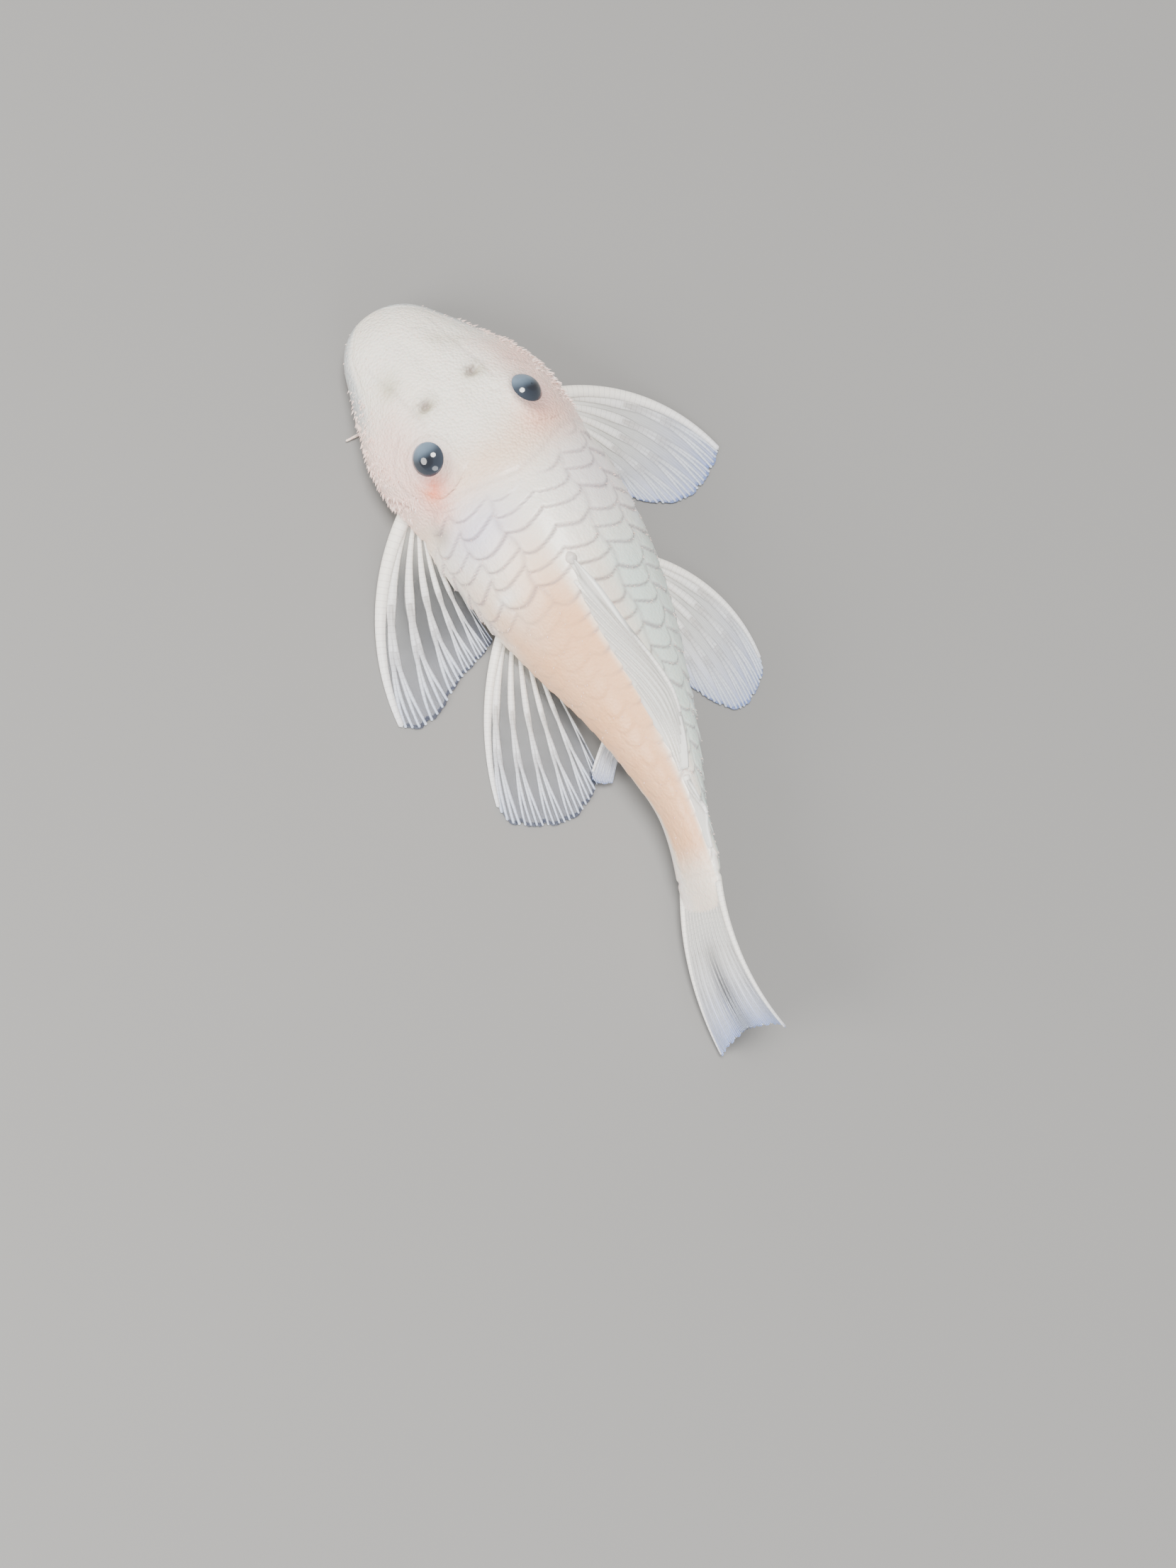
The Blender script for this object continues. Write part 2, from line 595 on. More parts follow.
def skin_material(colours):
    shader = Shader("pleco_skin", Subsurface_Weight=0.15, Subsurface_Scale=0.0015, Coat_Roughness=0.16,
                    Subsurface_Radius=(1.0, 0.55, 0.4), IOR=1.42)
    mottle = shader.noise(140, 4)
    fine = shader.noise(900, 3)
    base = shader.mix(mottle, colours.white, colours.cream)
    base = shader.mix(shader.attribute("rosy") * (mottle * 0.6 + 0.4), base, colours.rosy)
    base = shader.mix(shader.attribute("peach") * (mottle * 0.3 + 0.8), base, colours.peach)
    base = shader.mix(shader.attribute("mint") * (mottle * 0.4 + 0.6), base, colours.mint)
    base = shader.mix(shader.attribute("lilac") * (mottle * 0.5 + 0.6), base, colours.lilac)
    base = shader.mix(shader.attribute("belly") * 0.6, base, colours.belly)
    base = shader.mix(shader.attribute("blush") * (fine * 0.5 + 0.6), base, colours.blush)
    base = shader.mix(shader.attribute("olive") * (mottle * 0.6 + 0.5), base, colours.olive)
    base = shader.mix(shader.attribute("ridge") * 0.9, base, colours.white)
    base = shader.mix(shader.attribute("margin") * (mottle * 0.3 + 0.7), base, colours.margin)
    base = shader.mix(shader.attribute("edge") * (mottle * 0.5 + 0.4), base, colours.seam)
    base = shader.mix(shader.attribute("dark"), base, colours.dark)
    grains = shader.cells(2600)
    pores = shader.maths("LESS_THAN", shader.cells(620), 0.16)
    naked = shader.attribute("naked")
    height = grains * (naked * -0.7 - 0.4) + fine * 0.9 + mottle * 1.5 - pores * naked * 1.2
    normal = shader.bump(height, 0.00024, 0.6)
    return shader.feed(Base_Color=base, Roughness=fine * 0.22 + 0.3, Normal=normal,
                       Coat_Weight=mottle * 0.3 + 0.2)


def ray_material(colours):
    shader = Shader("pleco_fin_rays", Subsurface_Weight=0.5, Subsurface_Scale=0.001, Coat_Roughness=0.2,
                    Subsurface_Radius=(1.0, 0.9, 0.8))
    along = shader.attribute("along")
    mottle = shader.noise(300, 3)
    base = shader.mix(along * along, colours.ray_root, colours.ray_tip)
    joints = shader.maths("PINGPONG", shader.attribute("reach"), 0.3)
    near_joint = shader.maths("MULTIPLY", 0.06 - joints, 6.0, clamp=True)
    base = shader.mix(near_joint, base, colours.seam)
    return shader.feed(Base_Color=base, Roughness=mottle * 0.2 + 0.3,
                       Normal=shader.bump(mottle, 0.0001, 0.3))


def web_material(colours):
    """The thin sheet between the rays: clear and smoky where it is bare, white where it is milky."""
    shader = Shader("pleco_fin_web", Subsurface_Weight=0.6, Subsurface_Scale=0.001, Coat_Roughness=0.15,
                    Subsurface_Radius=(1.0, 1.0, 1.0), IOR=1.36)
    along = shader.attribute("along")
    milk = shader.attribute("milk")
    mottle = shader.noise(420, 4)
    white = shader.mix(along * along * along * (mottle * 0.6 + 0.7), colours.web_root, colours.web_tip)
    base = shader.mix(milk, colours.web_smoky, white)
    alpha = milk * 0.65 + (mottle * 0.1 + 0.34)
    streaks = shader.node("ShaderNodeTexWave", {"wave_type": "BANDS", "bands_direction": "X"}, {
        "Vector": shader.node("ShaderNodeCombineXYZ", {}, {"X": shader.attribute("fan"), "Y": along * 0.1}),
        "Scale": 14.0, "Distortion": 1.2, "Detail": 2.0,
    }, output="Fac")
    return shader.feed(Base_Color=base, Alpha=shader.maths("MINIMUM", alpha, 1.0),
                       Roughness=mottle * 0.2 + 0.25, Normal=shader.bump(streaks, 0.00008, 0.4),
                       Coat_Weight=mottle * 0.3 + 0.2)


def eye_material(colours):
    shader = Shader("pleco_eye", Roughness=0.12, Coat_Roughness=0.03, IOR=1.4, Coat_Weight=1.0)
    turn = shader.attribute("turn")
    flecks = shader.noise(500, 3)
    edge = shader.ramp(turn, [(0.0, 0), (0.32, 0), (0.4, 1), (1.0, 1)])
    base = shader.mix(edge, colours.pupil, colours.iris)
    base = shader.mix(flecks * 0.35, base, colours.iris_fleck)
    rim = shader.maths("SMOOTH_MIN", turn * turn, 1.0, 0.1)
    base = shader.mix(rim * 0.5, base, colours.iris_rim)
    base = shader.mix(shader.attribute("haze") * (flecks * 0.5 + 0.4), base, colours.eye_haze)
    return shader.feed(Base_Color=base)


def lip_material(colours):
    shader = Shader("pleco_lip", Subsurface_Weight=0.25, Subsurface_Scale=0.0015, Coat_Weight=0.3,
                    Coat_Roughness=0.2)
    mottle = shader.noise(600, 4)
    pimples = shader.cells(1500)
    base = shader.mix(mottle, colours.lip, colours.rosy)
    base = shader.mix(shader.attribute("throat"), base, colours.throat)
    return shader.feed(Base_Color=base, Roughness=mottle * 0.2 + 0.35,
                       Normal=shader.bump(pimples * -1.0, 0.00025, 0.6))


def tooth_material(colours):
    shader = Shader("pleco_teeth", Coat_Weight=0.4, Coat_Roughness=0.15)
    tone = shader.noise(900, 2)
    return shader.feed(Base_Color=shader.mix(tone, colours.tooth, colours.cream), Roughness=tone * 0.2 + 0.2)


def floor_material(colours):
    shader = Shader("stage_floor", Roughness=0.7)
    tone = shader.noise(18, 2)
    return shader.feed(Base_Color=shader.mix(tone, colours.floor, colours.floor_shade))


def build_skin(settings, colours):
    points, out, lie, fields = skin_form(settings)
    rows, columns = points.shape[:2]
    snout = points[0].mean(0) - np.array([0, 0.02, 0])
    tail = points[-1].mean(0)
    values = {}
    for name, field in fields.items():
        values[name] = np.concatenate([field.ravel(), field[0, :1], field[-1, :1]])
    values["lie"] = np.concatenate([lie.reshape(-1, 3), lie[0, :1], lie[-1, :1]])
    values["out"] = np.concatenate([out.reshape(-1, 3), out[0, :1], out[-1, :1]])
    piece = add_piece("skin", np.concatenate([points.reshape(-1, 3), [snout, tail]]),
                      capped_faces(rows, columns), [skin_material(colours)],
                      ("head", "trunk", "tail_front", "tail_rear"), values)
    turn_outward(piece.data)


def turn_outward(mesh):
    """Flips every face when the closed mesh is inside out."""
    corners = np.empty(len(mesh.vertices) * 3)
    mesh.vertices.foreach_get("co", corners)
    corners = corners.reshape(-1, 3)
    mesh.calc_loop_triangles()
    picks = np.empty(len(mesh.loop_triangles) * 3, np.int32)
    mesh.loop_triangles.foreach_get("vertices", picks)
    a, b, c = corners[picks.reshape(-1, 3).T]
    if np.einsum("ij,ij->", a, np.cross(b, c)) < 0:
        mesh.flip_normals()
        mesh.update()


def build_eyes(colours):
    """Each eye is a polished ball whose dark middle faces up and out."""
    material = eye_material(colours)
    rows, columns = 48, 64
    turns = np.linspace(0, 2 * np.pi, columns, endpoint=False)
    tilt, spin = np.meshgrid(np.linspace(0, np.pi, rows)[1:-1], turns, indexing="ij")
    for name, side, centre in zip(("left", "right"), (1, -1), eye_centres()):
        axis = eye_axis(side)
        first = unit(np.cross(axis, (0, 1, 0)))
        second = np.cross(axis, first)
        radius = EYE_RADIUS * (1 + 0.035 * np.exp(-(tilt / 0.75) ** 2))
        ball = centre + radius[..., None] * (
            axis * np.cos(tilt)[..., None]
            + (first * np.cos(spin)[..., None] + second * np.sin(spin)[..., None]) * np.sin(tilt)[..., None])
        poles = [centre + axis * EYE_RADIUS * 1.035, centre - axis * EYE_RADIUS]
        turn = np.concatenate([(tilt / (np.pi / 3.2)).ravel(), [0, 1]])
        facing = (ball - centre) / radius[..., None] @ unit((0.25 * side, -0.9, 0.5))
        haze = np.concatenate([smooth(0.45, 0.95, facing).ravel(), [0, 0]])
        piece = add_piece(f"eye_ball_{name}", np.concatenate([ball.reshape(-1, 3), poles]),
                          capped_faces(len(ball), columns), [material], (f"eye_{name}",),
                          {"turn": np.clip(turn, 0, 1), "haze": haze})
        turn_outward(piece.data)


MOUTH_STATION, MOUTH_LENGTH, MOUTH_WIDTH = 0.1, 5.8, 6.4
MOUTH_PROFILE = [(0.0, 0.75), (0.22, 0.72), (0.34, 0.5), (0.5, 0.28), (0.72, 0.04), (0.9, 0.0), (0.99, 0.2),
                 (0.99, 0.5), (0.93, 0.8), (0.7, 1.6), (0.0, 1.9)]


def build_mouth(colours):
    """The sucker mouth: a soft round disc with small pimples round a shallow throat, and two feelers."""
    lip = lip_material(colours)
    steps, columns = 46, 120
    knots = np.array(MOUTH_PROFILE)
    run = np.concatenate([[0], np.cumsum(np.hypot(*np.diff(knots, axis=0).T))])
    share = np.linspace(0, run[-1], steps)
    radius = np.interp(share, run, knots[:, 0])[1:-1]
    height = np.interp(share, run, knots[:, 1])[1:-1]
    spin = np.linspace(0, 2 * np.pi, columns, endpoint=False)
    ring = radius[:, None] * np.ones(columns)
    level = height[:, None] + 0 * ring
    under = (share[1:-1] < run[6])[:, None]
    pimple = 0.06 * np.sin(ring * 46) * np.sin(spin * 34) * smooth(0.35, 0.5, ring) * under
    notch = 0.05 * hump(np.abs((spin - 1.5 * np.pi + np.pi) % (2 * np.pi) - np.pi), 0, 0.14)
    ring = ring * (1 - notch * (radius[:, None] > 0.6))
    level = np.maximum(level + np.where(under, np.abs(pimple), 0), 0.012)
    angle = math.radians(float(heading(MOUTH_STATION)))
    side, fore = MOUTH_WIDTH * ring * np.cos(spin), MOUTH_LENGTH * ring * np.sin(spin)
    x, y = middle_at(MOUTH_STATION)
    points = np.stack([*turned(x, y, side, fore, angle), level], -1)
    poles = [(x, y, knots[0, 1]), (x, y, knots[-1, 1])]
    throat = (1 - smooth(0.16, 0.34, ring) * np.ones(columns)).ravel() * under.repeat(columns, 1).ravel()
    throat = np.concatenate([throat, [1, 0]])
    piece = add_piece("sucker_mouth", np.concatenate([points.reshape(-1, 3), poles]),
                      capped_faces(len(points), columns), [lip], ("mouth_disc",), {"throat": throat})
    turn_outward(piece.data)
    build_teeth(x, y, angle, colours)
    for name, (side, reach, sweep) in BARBELS.items():
        build_barbel(name, side, reach, sweep, lip)


TEETH_A_ROW = 22
TOOTH_LEVEL, TOOTH_LENGTH, TOOTH_HOOK, TOOTH_RADIUS = 0.62, 0.34, 0.16, 0.05


def build_teeth(x, y, angle, colours):
    """Four curved rows of fine teeth round the throat, two towards the snout and two behind."""
    mesh = Mesh()
    ahead = np.array([math.sin(angle), math.cos(angle), 0])
    for side in (1, -1):
        for fore in (1, -1):
            for spread in np.linspace(0.12, 1.0, TEETH_A_ROW):
                across = side * 2.1 * spread
                along = fore * (1.15 + 0.42 * (1 - (spread * 2 - 1) ** 2))
                root = np.array([*turned(x, y, across, along, angle), TOOTH_LEVEL])
                tip = root - (0, 0, TOOTH_LENGTH) - fore * TOOTH_HOOK * ahead
                path = root + (tip - root) * np.linspace(0, 1, 4)[:, None]
                mesh.tube(path, TOOTH_RADIUS * np.linspace(1, 0.5, 4), 5, 0, None, (1, 0, 0), throat=0.0)
    fix_directions(mesh.piece("teeth", [tooth_material(colours)], "lip"))


BARBEL_STATION, BARBEL_ROOT, BARBEL_HEIGHT = 0.13, 5.6, 0.42
BARBELS = {"left": (1, 6.2, -0.8), "right": (-1, 4.8, 1.6)}


def build_barbel(name, side, reach, sweep, material):
    """A short feeler from the corner of the mouth, tapering to a soft tip."""
    share = np.linspace(0, 1, 26)
    out = BARBEL_ROOT - 0.8 + (reach + 0.7) * share
    back = sweep * share ** 2
    path = at_station(BARBEL_STATION + back / STANDARD_LENGTH, side * out, BARBEL_HEIGHT + 0 * share)
    path[:, 2] = BARBEL_HEIGHT + 0.05 * np.sin(share * 6)
    mesh = Mesh()
    mesh.tube(path, 0.36 * (1 - 0.62 * share ** 1.5), 12, throat=0.0)
    turn_outward(mesh.piece(f"feeler_{name}", [material], "lip", (f"barbel_{name}",)).data)


# A paired fin spreads from a short base. Angles are degrees from tailward towards the outside.
FIN_STEPS = [0, 0.12, 0.5, 1]
FINS = {
    "pectoral_fin_left": dict(
        side=1, front=(7.6, -27.4), rear=(6, -21.5), root=3.2, tip=0.3, rays=6, lead=55, trail=-3,
        lead_turn=-50, trail_turn=-2, lengths=(27.5, 26.9, 19, 13), spine=1, milk=0.1, cover=0.62),
    "pectoral_fin_right": dict(
        side=-1, front=(-16.8, -32.6), rear=(-16.6, -27), root=3.2, tip=0.3, rays=6, lead=79, trail=20,
        lead_turn=-65, trail_turn=-11, lengths=(24.4, 23.6, 20, 10), spine=1, milk=0.78,
        cover=0.74),
    "pelvic_fin_left": dict(
        side=1, front=(3, -9.5), rear=(1, -4.5), root=1.5, tip=0.3, rays=6, lead=49, trail=0,
        lead_turn=-35, trail_turn=3, lengths=(23.4, 25.3, 24.3, 17.8), spine=0.72, milk=0.1,
        cover=0.52),
    "pelvic_fin_right": dict(
        side=-1, front=(-16, -9.5), rear=(-14.5, -4.5), root=1.5, tip=0.3, rays=6, lead=55, trail=-2,
        lead_turn=-64, trail_turn=2, lengths=(22, 23, 22.1, 13.1), spine=0.72, milk=0.8,
        cover=0.7),
    "anal_fin": dict(
        side=1, front=(-5.4, 6.6), rear=(-5.0, 9.2), root=2.6, tip=1.5, rays=4, lead=60, trail=54,
        lead_turn=-12, trail_turn=-14, lengths=(9.6, 10.4, 9.8, 8.2), spine=0.52, milk=0.7, cover=0.6),
}


def fin_point(fin, fan, along):
    """A point of a level fin: fan from leading to trailing edge, along from root to tip."""
    fan, along = np.broadcast_arrays(np.asarray(fan, float), np.asarray(along, float))
    start = np.radians(fin["lead"] + (fin["trail"] - fin["lead"]) * fan)
    turn = np.radians(fin["lead_turn"] + (fin["trail_turn"] - fin["lead_turn"]) * fan)
    turn = np.where(np.abs(turn) < 1e-4, 1e-4, turn)
    reach = profile(list(zip(FIN_STEPS, fin["lengths"])))(fan)
    out = reach * (np.cos(start) - np.cos(start + turn * along)) / turn
    back = reach * (np.sin(start + turn * along) - np.sin(start)) / turn
    x = fin["front"][0] + (fin["rear"][0] - fin["front"][0]) * fan + fin["side"] * out
    y = fin["front"][1] + (fin["rear"][1] - fin["front"][1]) * fan + back
    z = fin["tip"] + (fin["root"] - fin["tip"]) * (1 - along) ** 2
    return np.stack([x, y, z], -1)


SPINE_SHARE, SPINE_ROOT = 0.045, 1.7
SHEET_HALF = 0.06
# Where a soft ray's trunk, its two branches and its four twigs start and end along the fin
TRUNK = (0.0, 0.55)
BRANCHES = (0.40, 0.78)
TWIGS = (0.62, 0.99)


def branch_shift(along):
    """How far a branch has moved from the middle of its ray, in shares of the gap between rays."""
    return smooth(BRANCHES[0], 1.0, along) * 0.25


def twig_shift(along):
    return smooth(TWIGS[0], 1.02, along) * 0.125


def soft_ray(mesh, place, centre, gap, half_at, thick_at, up, length):
    """One ray: a trunk that splits in two and then in four, each part starting inside the one before."""
    parts = [(TRUNK, 1.0, [(0, 0)]), (BRANCHES, 0.55, [(1, 0), (-1, 0)])]
    parts.append((TWIGS, 0.3, [(1, 1), (1, -1), (-1, 1), (-1, -1)]))
    for (start, end), share, sides in parts:
        along = np.linspace(start, end, 24)
        narrow = 1 - 0.45 * smooth(end - 0.2, end, along) if end < 0.9 else 1 - 0.3 * smooth(0.8, 1, along)
        half = np.maximum(half_at(along) * share * narrow, 0.06)
        thick = np.maximum(thick_at(along) * (0.86 + 0.14 * share) * (1 if end > 0.9 else narrow), 0.08)
        for branch, twig in sides:
            fan = centre + (branch * branch_shift(along) + twig * twig_shift(along)) * gap
            path = place(np.clip(fan, 0.002, 0.998), along)
            mesh.tube(path, half, 8, 0, thick, up, along=along, reach=along * length, fan=0.0, milk=1.0)


def fan_fin(name, place, rays, spine_radius, thickness, cover, milk, materials, replaced, spines=(0.0,),
            up=(0, 0, 1), webbing=(90, 40), clear=None):
    """A fin of tapering, branching rays in a thin sheet; place gives a point from fan and along.

    Milk says how white the sheet is, and clear, if given, where it is less so."""
    mesh = Mesh()
    along = np.linspace(0, 1, 44)
    length = np.linalg.norm(np.diff(place(0.5 + 0 * along, along), axis=0), axis=1).sum()
    for edge in spines:
        inner = edge + (SPINE_SHARE * 0.4 if edge == 0.0 else -SPINE_SHARE * 0.4)
        path = place(inner + 0 * along, along * 0.985)
        radii = spine_radius * (1 - 0.62 * along ** 1.1)
        deep = 0.65 if up[2] == 1 else 0.85
        share = along
        if up[2] == 1:
            path[:, 2] = np.maximum(path[:, 2], radii * deep + 0.03)
            # The root of the spine runs on into the body
            path = np.vstack([path[:1] + SPINE_ROOT * unit(path[0] - path[1]), path])
            radii = np.concatenate([radii[:1] * 0.9, radii])
            share = np.concatenate([along[:1], along])
        mesh.tube(path, radii, 14, 0, radii * deep, up, along=share * 0.6, reach=share * length, fan=0.0,
                  milk=1.0)
    first, last = SPINE_SHARE * 2.4, 1 - SPINE_SHARE * (2.4 if len(spines) > 1 else 0.5)
    centres = np.linspace(first, last, rays)
    gap = (last - first) / max(rays - 1, 1)
    for k, centre in enumerate(centres):
        near = place(np.clip(centre - gap / 2, 0, 1) + 0 * along, along)
        far = place(np.clip(centre + gap / 2, 0, 1) + 0 * along, along)
        pitch = np.linalg.norm(far - near, axis=1)
        whole = np.minimum(pitch * cover / 2, 0.95) * (1 - 0.12 * k / rays)
        soft_ray(mesh, place, centre, gap, lambda at, w=whole: np.interp(at, along, w),
                 lambda at: np.maximum(thickness * (1 - 0.6 * at), 0.09), up, length)
    columns, rows = webbing
    fan, share = np.meshgrid(np.linspace(0.01, 0.995, columns), np.linspace(0, 1, rows), indexing="ij")
    wave = np.abs(((fan - first) / gap + 0.5) % 1 - 0.5) * 2
    tip = 1 - 0.022 * wave ** 2 + 0.004 * np.sin(fan * 61) + 0.003 * np.sin(fan * 139)
    middle = place(fan, share * np.minimum(tip, 1))
    normal = np.cross(np.gradient(middle, axis=0), np.gradient(middle, axis=1))
    normal /= np.maximum(np.linalg.norm(normal, axis=-1, keepdims=True), 1e-9)
    if normal[..., 2].mean() < 0:
        normal = -normal
    sheet = SHEET_HALF * normal
    white = milk + 0.35 * (1 - smooth(0, 0.35, share)) - (clear(fan, share) if clear else 0)
    mesh.sheet(middle + sheet, middle - sheet, 1, along=share, reach=share * length, fan=fan,
               milk=np.clip(white, 0, 1))
    piece = mesh.piece(name, materials, "fin", replaced)
    fix_directions(piece)
    return piece


def fix_directions(piece):
    """Points the faces of every closed part outwards."""
    work = bmesh.new()
    work.from_mesh(piece.data)
    bmesh.ops.recalc_face_normals(work, faces=work.faces)
    work.to_mesh(piece.data)
    work.free()


def build_level_fins(materials):
    for name, fin in FINS.items():
        thickness = 0.3 if fin["rays"] > 4 else 0.24
        fan_fin(f"{name}_sheet", lambda fan, along, fin=fin: fin_point(fin, fan, along), fin["rays"],
                fin["spine"], thickness, fin["cover"], fin["milk"], materials, (name,))


CAUDAL = dict(heading=27, turn=-31, lean=19, lean_more=8, root_half=4.7, tip_half=7.5, middle=7.0, rise=0.5,
              length=18.8, upper=2.2, lower=1.6, rays=12)


def caudal_point(fan, along):
    """A point of the tail fin: fan runs from its lower edge at 0 to its upper edge at 1."""
    fan, along = np.broadcast_arrays(np.asarray(fan, float), np.asarray(along, float))
    v = fan * 2 - 1
    start, turn = math.radians(CAUDAL["heading"]), math.radians(CAUDAL["turn"])
    reach = CAUDAL["length"] + np.where(v > 0, CAUDAL["upper"], CAUDAL["lower"]) * np.abs(v) ** 1.5
    x, y = middle_at(1.0)
    angle = start + turn * along
    middle_x = x + reach * (math.cos(start) - np.cos(angle)) / turn
    middle_y = y + reach * (np.sin(angle) - math.sin(start)) / turn
    tilt = np.radians(CAUDAL["lean"] + CAUDAL["lean_more"] * along)
    spread = np.clip(along, 0, None) ** 1.1
    half = CAUDAL["root_half"] + (CAUDAL["tip_half"] - CAUDAL["root_half"]) * spread
    fold = 0.35 * np.sin(v * 7.0) * smooth(0.2, 1.0, along)
    across = fold * np.cos(tilt) - v * half * np.sin(tilt)
    up = fold * np.sin(tilt) + v * half * np.cos(tilt)
    x = middle_x + across * np.cos(angle)
    y = middle_y - across * np.sin(angle)
    z = CAUDAL["middle"] + CAUDAL["rise"] * along + up
    return np.stack([x, y, np.maximum(z, 0.1)], -1)


def build_caudal(materials):
    fan_fin("caudal_fin_sheet", caudal_point, CAUDAL["rays"], 0.5, 0.15, 0.62, 0.95, materials,
            ("caudal_fin",), spines=(0.0, 1.0), up=(1, 0.2, 0.3), webbing=(140, 40),
            clear=lambda fan, along: 0.85 * hump(fan, 0.42 + 0.06 * along, 0.13) * smooth(0.25, 0.7, along))


DORSAL_HEIGHT = profile([(0.497, 0.6), (0.51, 1.7), (0.56, 3.2), (0.64, 4), (0.72, 4.2), (0.76, 3.4),
                         (0.8, 2.2), (0.835, 0.9)])
DORSAL_LEAN = profile([(0.497, 4), (0.56, 14), (0.64, 22), (0.72, 27), (0.84, 30)])
DORSAL_FROM, DORSAL_BASE_END, DORSAL_TO = 0.497, 0.7, 0.835


def ridge_point(station, rise, height, lean, aside=0.0):
    """A point of a folded fin on the back: rise is the share of its height at that station."""
    base = on_body(station, np.full(np.shape(station), np.pi / 2))
    tilt = np.radians(lean(station) + roll(station))
    angle = np.radians(heading(station))
    up = height(station) * rise
    across = aside * np.cos(tilt) - up * np.sin(tilt)
    lift = aside * np.sin(tilt) + up * np.cos(tilt)
    return base + np.stack([across * np.cos(angle), -across * np.sin(angle), lift], -1)


def fold_half(rise):
    """Half the thickness of the folded fin, stout at the back and thin at the crest."""
    return 0.3 + 0.85 * (1 - smooth(-0.1, 1.0, rise)) ** 1.2


def build_dorsal(materials):
    """The folded fin: a stout spine along its crest, and soft rays that lie back under it."""
    mesh = Mesh()
    share = np.linspace(0, 1, 44)
    rays = 7
    for i in range(rays + 1):
        start = DORSAL_FROM + (DORSAL_BASE_END - DORSAL_FROM) * i / rays
        end = 0.76 if i == 0 else 0.765 + (DORSAL_TO - 0.765) * (i - 1) / (rays - 1)
        station = start + (end - start) * share
        last = 1.0 if i == 0 else 0.97 - 0.8 * ((i - 1) / (rays - 1)) ** 1.3
        rise = last * (1 - (1 - share) ** (3.2 if i == 0 else 2.2))
        radius = (0.52 if i == 0 else 0.26) * (1 - 0.6 * share)
        for aside in ((0.0,) if i == 0 else (1.0, -1.0)):
            path = ridge_point(station, rise, DORSAL_HEIGHT, DORSAL_LEAN, aside * (fold_half(rise) - 0.15))
            mesh.tube(path, radius, 10, 0, None, (1, 0, 0.2), along=share * 0.3, reach=share * 18, fan=0.0,
                      milk=1.0)
    station, rise = np.meshgrid(np.linspace(DORSAL_FROM, DORSAL_TO, 90), np.linspace(-0.25, 0.985, 26),
                                indexing="ij")
    half = fold_half(rise) * (0.25 + 0.75 * smooth(DORSAL_FROM, 0.56, station)) * (
        1 - 0.5 * smooth(0.74, DORSAL_TO, station))
    left = ridge_point(station, rise, DORSAL_HEIGHT, DORSAL_LEAN, half)
    right = ridge_point(station, rise, DORSAL_HEIGHT, DORSAL_LEAN, -half)
    mesh.sheet(left, right, 1, along=0 * rise, reach=station * 80, fan=rise, milk=0 * rise + 1.1)
    knob = ridge_point(np.linspace(0.486, 0.506, 12), 0.35, DORSAL_HEIGHT, DORSAL_LEAN)
    mesh.tube(knob, 0.75 * np.sin(np.linspace(0.35, 2.9, 12)), 12, 0, None, (1, 0, 0), along=0.0, reach=0.0,
              fan=0.0, milk=1.0)
    fix_directions(mesh.piece("dorsal_fin_folded", materials, "fin", ("dorsal_fin",)))


ADIPOSE_HEIGHT = profile([(0.85, 0.5), (0.87, 1.5), (0.905, 2.3), (0.925, 1.2), (0.955, 0.5)])
UPRIGHT = profile([(0.85, 0), (0.955, 0)])


def build_adipose(materials):
    """The small fin before the tail: one spine with a low fold of skin behind it."""
    mesh = Mesh()
    share = np.linspace(0, 1, 24)
    path = ridge_point(0.845 + 0.06 * share, np.clip(share * 1.15, 0, 0.97), ADIPOSE_HEIGHT, UPRIGHT)
    mesh.tube(path, 0.5 * (1 - 0.5 * share), 12, 0, None, (1, 0, 0), along=share * 0.4, reach=share * 5,
              fan=0.0, milk=1.0)
    station, rise = np.meshgrid(np.linspace(0.852, 0.953, 40), np.linspace(-0.5, 0.96, 16), indexing="ij")
    half = 0.42 * (1 - 0.65 * np.clip(rise, 0, 1))
    mesh.sheet(ridge_point(station, rise, ADIPOSE_HEIGHT, UPRIGHT, half),
               ridge_point(station, rise, ADIPOSE_HEIGHT, UPRIGHT, -half), 1,
               along=0 * rise, reach=station * 80, fan=rise, milk=0 * rise + 1.1)
    fix_directions(mesh.piece("adipose_fin_spine", materials, "fin", ("adipose_fin",)))


